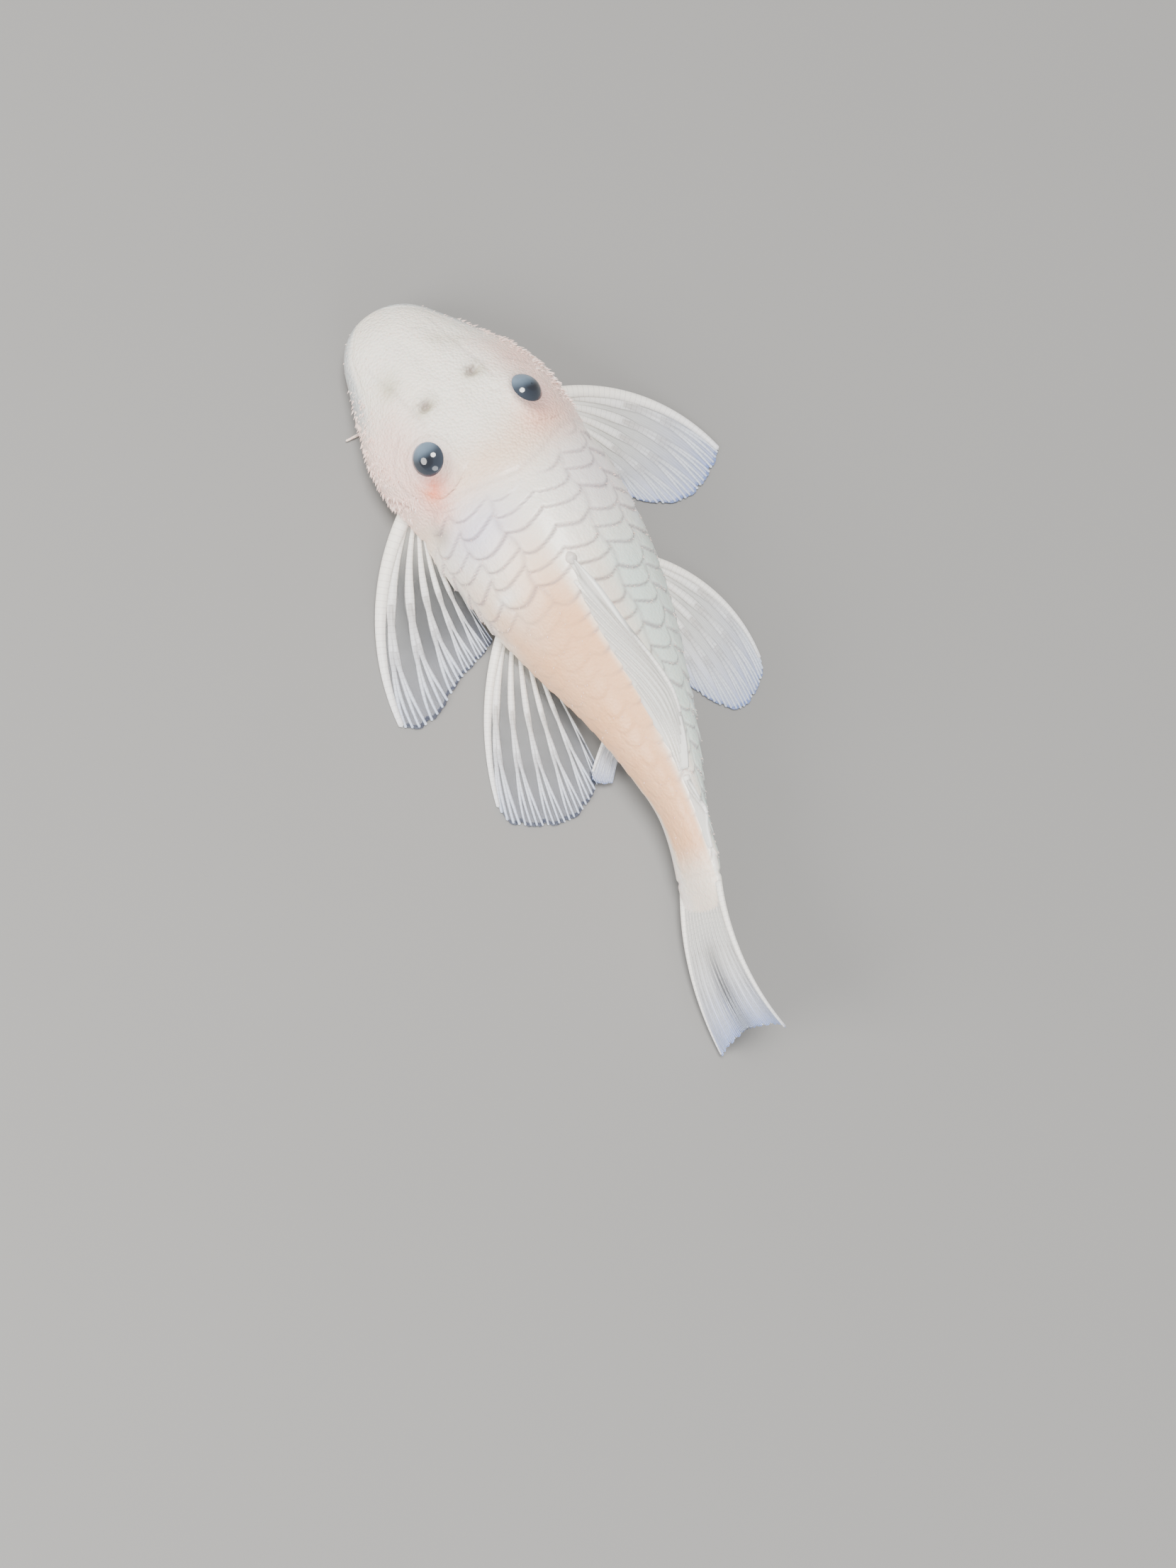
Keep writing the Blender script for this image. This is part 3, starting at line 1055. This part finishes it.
def odontode_tree(material):
    """Scatters small cones over a surface, more where the density field is high, lying tailward."""
    tree = bpy.data.node_groups.new("odontodes", "GeometryNodeTree")
    face = tree.interface
    face.new_socket("Geometry", in_out="INPUT", socket_type="NodeSocketGeometry")
    for name, kind in (("Density", "NodeSocketFloat"), ("Length", "NodeSocketFloat"),
                       ("Radius", "NodeSocketFloat"), ("Seed", "NodeSocketInt")):
        face.new_socket(name, in_out="INPUT", socket_type=kind)
    face.new_socket("Geometry", in_out="OUTPUT", socket_type="NodeSocketGeometry")

    def add(kind, settings=None, inputs=None):
        return add_node(tree, kind, settings, inputs)

    given = add("NodeGroupInput").outputs
    where = add("GeometryNodeInputNamedAttribute", {"data_type": "FLOAT"}, {"Name": "density"})
    amount = add("ShaderNodeMath", {"operation": "MULTIPLY"}, {
        0: given["Density"], 1: where.outputs["Attribute"],
    })
    points = add("GeometryNodeDistributePointsOnFaces", {"distribute_method": "RANDOM"}, {
        "Mesh": given["Geometry"], "Density": amount.outputs[0], "Seed": given["Seed"],
    })
    lean = add("GeometryNodeInputNamedAttribute", {"data_type": "FLOAT_VECTOR"}, {"Name": "lean"})
    turn = add("FunctionNodeAlignRotationToVector", {"axis": "Z"}, {"Vector": lean.outputs["Attribute"]})
    cone = add("GeometryNodeMeshCone", {"fill_type": "NGON"}, {
        "Vertices": 5, "Radius Top": 0.00001, "Radius Bottom": given["Radius"], "Depth": given["Length"],
    })
    size = add("FunctionNodeRandomValue", {"data_type": "FLOAT"}, {"Seed": given["Seed"], 2: 0.55, 3: 1.25})
    spread = add("GeometryNodeInstanceOnPoints", {}, {
        "Points": points.outputs["Points"], "Instance": cone.outputs["Mesh"],
        "Rotation": turn.outputs["Rotation"], "Scale": size.outputs[1],
    })
    real = add("GeometryNodeRealizeInstances", {}, {"Geometry": spread.outputs["Instances"]})
    done = add("GeometryNodeSetMaterial", {}, {"Geometry": real.outputs["Geometry"], "Material": material})
    add("NodeGroupOutput", {}, {"Geometry": done.outputs["Geometry"]})
    return tree


def scatter_odontodes(name, skin, field, density, length, radius, seed, material):
    """Runs the scatter over a bare copy of the skin and keeps the result as a plain mesh."""
    source = skin.data.copy()
    values = np.empty(len(source.vertices), np.float32)
    source.attributes[field].data.foreach_get("value", values)
    layer = source.attributes.new("density", "FLOAT", "POINT")
    layer.data.foreach_set("value", values)
    lie = np.empty(len(source.vertices) * 3, np.float32)
    out = np.empty_like(lie)
    source.attributes["lie"].data.foreach_get("vector", lie)
    source.attributes["out"].data.foreach_get("vector", out)
    layer = source.attributes.new("lean", "FLOAT_VECTOR", "POINT")
    layer.data.foreach_set("vector", lie * 0.75 + out * 0.65)
    worker = add_object(name + "_source", source)
    modifier = worker.modifiers.new("odontodes", "NODES")
    modifier.node_group = odontode_tree(material)
    given = {item.name: item.identifier for item in modifier.node_group.interface.items_tree
             if item.in_out == "INPUT"}
    for key, value in (("Density", density), ("Length", length), ("Radius", radius), ("Seed", seed)):
        modifier[given[key]] = value
    graph = bpy.context.evaluated_depsgraph_get()
    made = bpy.data.meshes.new_from_object(worker.evaluated_get(graph), depsgraph=graph)
    bpy.data.objects.remove(worker)
    made.name = name
    claim(add_object(name, made))


def odontode_material(colours):
    shader = Shader("pleco_odontodes", Coat_Weight=0.3, Coat_Roughness=0.2)
    tone = shader.noise(700, 2)
    return shader.feed(Base_Color=shader.mix(tone, colours.white, colours.rosy), Roughness=tone * 0.2 + 0.3)


# The camera stands over the fish, leaning to its left and towards its tail, and spun in the picture
CAMERA_DISTANCE = 317.0
CAMERA_LEFT_LEAN, CAMERA_BACK_LEAN, CAMERA_SPIN = 11.0, 6.0, 29.7
PHOTO_SIZE = (1659, 2212)
AIM_PIXEL = (790.0, 960.0)
LONG_SIDE_VIEW = 35.0
SENSOR = 36.0


def camera_matrix():
    """The camera's place and turn, from its lean, its spin and the pixel where the middle falls."""
    back = np.array([math.sin(math.radians(CAMERA_LEFT_LEAN)), math.sin(math.radians(CAMERA_BACK_LEAN)), 0.0])
    back[2] = math.sqrt(1 - back @ back)
    forward = np.array([0.0, -1.0, 0.0])
    forward -= (forward @ back) * back
    forward /= np.linalg.norm(forward)
    aside = np.cross(forward, back)
    spin = math.radians(CAMERA_SPIN)
    up = forward * math.cos(spin) + aside * math.sin(spin)
    right = np.cross(up, back)
    focal = PHOTO_SIZE[1] / 2 / math.tan(math.radians(LONG_SIDE_VIEW / 2))
    ray = np.array([AIM_PIXEL[0] - PHOTO_SIZE[0] / 2, PHOTO_SIZE[1] / 2 - AIM_PIXEL[1], -focal]) / focal
    ray /= np.linalg.norm(ray)
    axis = np.cross(ray, (0, 0, -1.0))
    sine, cosine = np.linalg.norm(axis), -ray[2]
    cross = np.array([[0, -axis[2], axis[1]], [axis[2], 0, -axis[0]], [-axis[1], axis[0], 0]])
    turn = np.eye(3) + cross + cross @ cross * ((1 - cosine) / sine ** 2)
    axes = np.stack([right, up, back], 1) @ turn
    matrix = np.eye(4)
    matrix[:3, :3] = axes
    matrix[:3, 3] = to_metres(back * CAMERA_DISTANCE)
    return matrix


def add_light(kind, name, axes, place, size, power, colour):
    """A soft lamp at a place given along the picture's right, up and towards the camera."""
    lamp = bpy.data.lights.new(name, kind)
    lamp.energy = power
    lamp.color = colour
    if kind == "AREA":
        lamp.shape = "DISK"
        lamp.size = size
    else:
        lamp.angle = size
    light = add_object(name, lamp)
    where = axes @ np.array(place)
    light.location = where
    light.rotation_euler = Vector(where).to_track_quat("Z", "Y").to_euler()


def build_stage(stage, colours):
    matrix = camera_matrix()
    lens = bpy.data.cameras.new("camera")
    lens.sensor_width = SENSOR
    lens.lens = SENSOR / 2 / math.tan(math.radians(LONG_SIDE_VIEW / 2))
    lens.clip_start = 0.005
    lens.clip_end = 20
    camera = add_object("camera", lens)
    camera.matrix_world = Matrix(matrix.tolist())
    bpy.context.scene.camera = camera

    half = stage.floor_size / 2
    mesh = bpy.data.meshes.new("floor")
    corners = [(-half, -half, 0), (half, -half, 0), (half, half, 0), (-half, half, 0)]
    mesh.from_pydata(corners, [], [(0, 1, 2, 3)])
    mesh.materials.append(floor_material(colours))
    add_object("floor", mesh)

    axes = matrix[:3, :3]
    add_light("SUN", "key", axes, (0.05, 0.15, 0.48), 0.45, stage.key_strength, (1.0, 0.985, 0.96))
    add_light("AREA", "fill", axes, (-0.36, -0.10, 0.30), 0.30, stage.fill_power, (1.0, 0.98, 0.95))
    add_light("AREA", "rim", axes, (0.10, -0.42, 0.26), 0.26, stage.fill_power * 0.4, (0.93, 0.96, 1.0))
    world = bpy.data.worlds.new("studio")
    bpy.context.scene.world = world
    world.use_nodes = True
    world.node_tree.nodes["Background"].inputs["Color"].default_value = (0.93, 0.94, 0.95, 1)
    world.node_tree.nodes["Background"].inputs["Strength"].default_value = stage.sky_strength


def colour(name, description, value):
    return FloatVectorProperty(name=name, description=description, default=value, min=0, max=1, size=3,
                               subtype="COLOR")


class PlecoSizes(bpy.types.PropertyGroup):
    plate_step: FloatProperty(
        name="Plate step", description="How far each body plate stands over the next one", default=0.0003,
        unit="LENGTH", precision=5)
    cheek_density: FloatProperty(
        name="Cheek spines", description="Spines per square metre where the cheek is roughest", default=3.2e6)
    cheek_spine: FloatProperty(
        name="Cheek spine length", description="Length of the short spines on the cheek", default=0.00055,
        unit="LENGTH", precision=5)
    plate_density: FloatProperty(
        name="Plate spines", description="Spines per square metre at the rear edges of the plates",
        default=2.6e6)
    plate_spine: FloatProperty(
        name="Plate spine length", description="Length of the tiny spines on the plates", default=0.00022,
        unit="LENGTH", precision=5)
    seed: IntProperty(name="Seed", description="Fixes where the scattered spines fall", default=7)


class PlecoColours(bpy.types.PropertyGroup):
    white: colour("White", "The palest skin of the head and back", (0.93, 0.89, 0.82))
    cream: colour("Cream", "Slightly warmer patches of the pale skin", (0.90, 0.81, 0.68))
    peach: colour("Peach", "Warm flank", (0.86, 0.47, 0.24))
    mint: colour("Mint", "Greenish white of the right side", (0.66, 0.80, 0.74))
    lilac: colour("Lilac", "Bluish pink of the nape", (0.66, 0.62, 0.74))
    rosy: colour("Rosy", "Pink of the cheeks", (0.88, 0.54, 0.46))
    blush: colour("Blush", "Orange behind the eyes", (0.92, 0.22, 0.09))
    belly: colour("Belly", "Bare skin under the body", (0.92, 0.80, 0.75))
    margin: colour("Snout margin", "Soft bare rim of the snout", (0.46, 0.49, 0.50))
    olive: colour("Olive", "Grey-green smudges round the nostrils", (0.34, 0.32, 0.17))
    seam: colour("Seams", "Shaded edges between plates", (0.26, 0.19, 0.22))
    dark: colour("Dark", "Slits and nostrils", (0.20, 0.12, 0.16))
    ray_root: colour("Ray root", "Fin rays near the body", (0.94, 0.88, 0.78))
    ray_tip: colour("Ray tip", "Fin rays near their tips", (0.64, 0.73, 0.94))
    web_root: colour("Web root", "Milky fin sheet near the body", (0.95, 0.94, 0.86))
    web_tip: colour("Web tip", "Milky fin sheet near its edge", (0.26, 0.36, 0.86))
    web_smoky: colour("Smoky web", "Bare clear fin sheet", (0.055, 0.06, 0.068))
    pupil: colour("Pupil", "Middle of the eye", (0.004, 0.005, 0.009))
    iris: colour("Iris", "Ring round the pupil", (0.010, 0.014, 0.022))
    iris_fleck: colour("Iris fleck", "Haze in the eye", (0.022, 0.03, 0.045))
    iris_rim: colour("Iris rim", "Pale edge of the eye", (0.07, 0.09, 0.12))
    eye_haze: colour("Eye haze", "Pale blue bloom on the forward side of the eye", (0.22, 0.31, 0.41))
    lip: colour("Lip", "Soft mouth disc", (0.93, 0.80, 0.74))
    tooth: colour("Teeth", "Amber tips of the fine teeth", (0.78, 0.50, 0.24))
    throat: colour("Throat", "Inside the mouth", (0.45, 0.20, 0.19))
    floor: colour("Floor", "Pale studio floor", (0.215, 0.212, 0.206))
    floor_shade: colour("Floor shade", "Slightly darker patches of the floor", (0.205, 0.202, 0.196))


class PlecoStage(bpy.types.PropertyGroup):
    floor_size: FloatProperty(name="Floor size", description="Side of the square floor",
                              default=8.0, unit="LENGTH")
    key_strength: FloatProperty(name="Key strength", description="Strength of the main soft light",
                                default=5.2)
    fill_power: FloatProperty(name="Fill power", description="Power of the soft lamp on the fish's left",
                              default=2.6, unit="POWER")
    sky_strength: FloatProperty(name="Sky strength", description="Strength of the even light all round",
                                default=0.6)


def settings():
    scene = bpy.context.scene
    return scene.pleco_sizes, scene.pleco_colours, scene.pleco_stage


class PLECO_OT_skin(bpy.types.Operator):
    """Builds the one skin over the head, trunk and tail"""
    bl_idname = "pleco.skin"
    bl_label = "Skin"

    def execute(self, context):
        sizes, colours, _ = settings()
        build_skin(sizes, colours)
        return {"FINISHED"}


class PLECO_OT_eyes(bpy.types.Operator):
    """Builds both eyes"""
    bl_idname = "pleco.eyes"
    bl_label = "Eyes"

    def execute(self, context):
        build_eyes(settings()[1])
        return {"FINISHED"}


class PLECO_OT_mouth(bpy.types.Operator):
    """Builds the sucker mouth and its two feelers"""
    bl_idname = "pleco.mouth"
    bl_label = "Mouth and feelers"

    def execute(self, context):
        build_mouth(settings()[1])
        return {"FINISHED"}


class PLECO_OT_fins(bpy.types.Operator):
    """Builds the paired fins and the fins on the middle line"""
    bl_idname = "pleco.fins"
    bl_label = "Fins"

    def execute(self, context):
        colours = settings()[1]
        materials = [ray_material(colours), web_material(colours)]
        build_level_fins(materials)
        build_caudal(materials)
        build_dorsal(materials)
        build_adipose(materials)
        return {"FINISHED"}


class PLECO_OT_odontodes(bpy.types.Operator):
    """Scatters the short spines of the cheeks and the plate edges"""
    bl_idname = "pleco.odontodes"
    bl_label = "Spines"

    def execute(self, context):
        sizes, colours, _ = settings()
        skin = bpy.data.objects["skin"]
        material = odontode_material(colours)
        scatter_odontodes("cheek_spines", skin, "bristle", sizes.cheek_density, sizes.cheek_spine,
                          sizes.cheek_spine * 0.22, sizes.seed, material)
        scatter_odontodes("plate_spines", skin, "grain", sizes.plate_density, sizes.plate_spine,
                          sizes.plate_spine * 0.28, sizes.seed + 1, material)
        return {"FINISHED"}


class PLECO_OT_stage(bpy.types.Operator):
    """Sets the camera, the pale floor and the soft lights"""
    bl_idname = "pleco.stage"
    bl_label = "Stage"

    def execute(self, context):
        _, colours, stage = settings()
        build_stage(stage, colours)
        return {"FINISHED"}


OPERATORS = (PLECO_OT_stage, PLECO_OT_skin, PLECO_OT_eyes, PLECO_OT_mouth, PLECO_OT_fins, PLECO_OT_odontodes)


class PLECO_PT_panel(bpy.types.Panel):
    bl_idname = "PLECO_PT_panel"
    bl_label = "Bristlenose Pleco"
    bl_space_type = "VIEW_3D"
    bl_region_type = "UI"
    bl_category = "Pleco"

    def draw(self, context):
        for operator in OPERATORS:
            self.layout.operator(operator.bl_idname)
        for group in settings():
            for name in group.__annotations__:
                self.layout.prop(group, name)


GROUPS = {"pleco_sizes": PlecoSizes, "pleco_colours": PlecoColours, "pleco_stage": PlecoStage}


def register():
    for item in (*GROUPS.values(), *OPERATORS, PLECO_PT_panel):
        bpy.utils.register_class(item)
    for name, group in GROUPS.items():
        setattr(bpy.types.Scene, name, PointerProperty(type=group))


def unregister():
    for name in GROUPS:
        delattr(bpy.types.Scene, name)
    for item in reversed((*GROUPS.values(), *OPERATORS, PLECO_PT_panel)):
        bpy.utils.unregister_class(item)


def main():
    register()
    for operator in OPERATORS:
        family, name = operator.bl_idname.split(".")
        getattr(getattr(bpy.ops, family), name)()


if __name__ == "__main__":
    main()
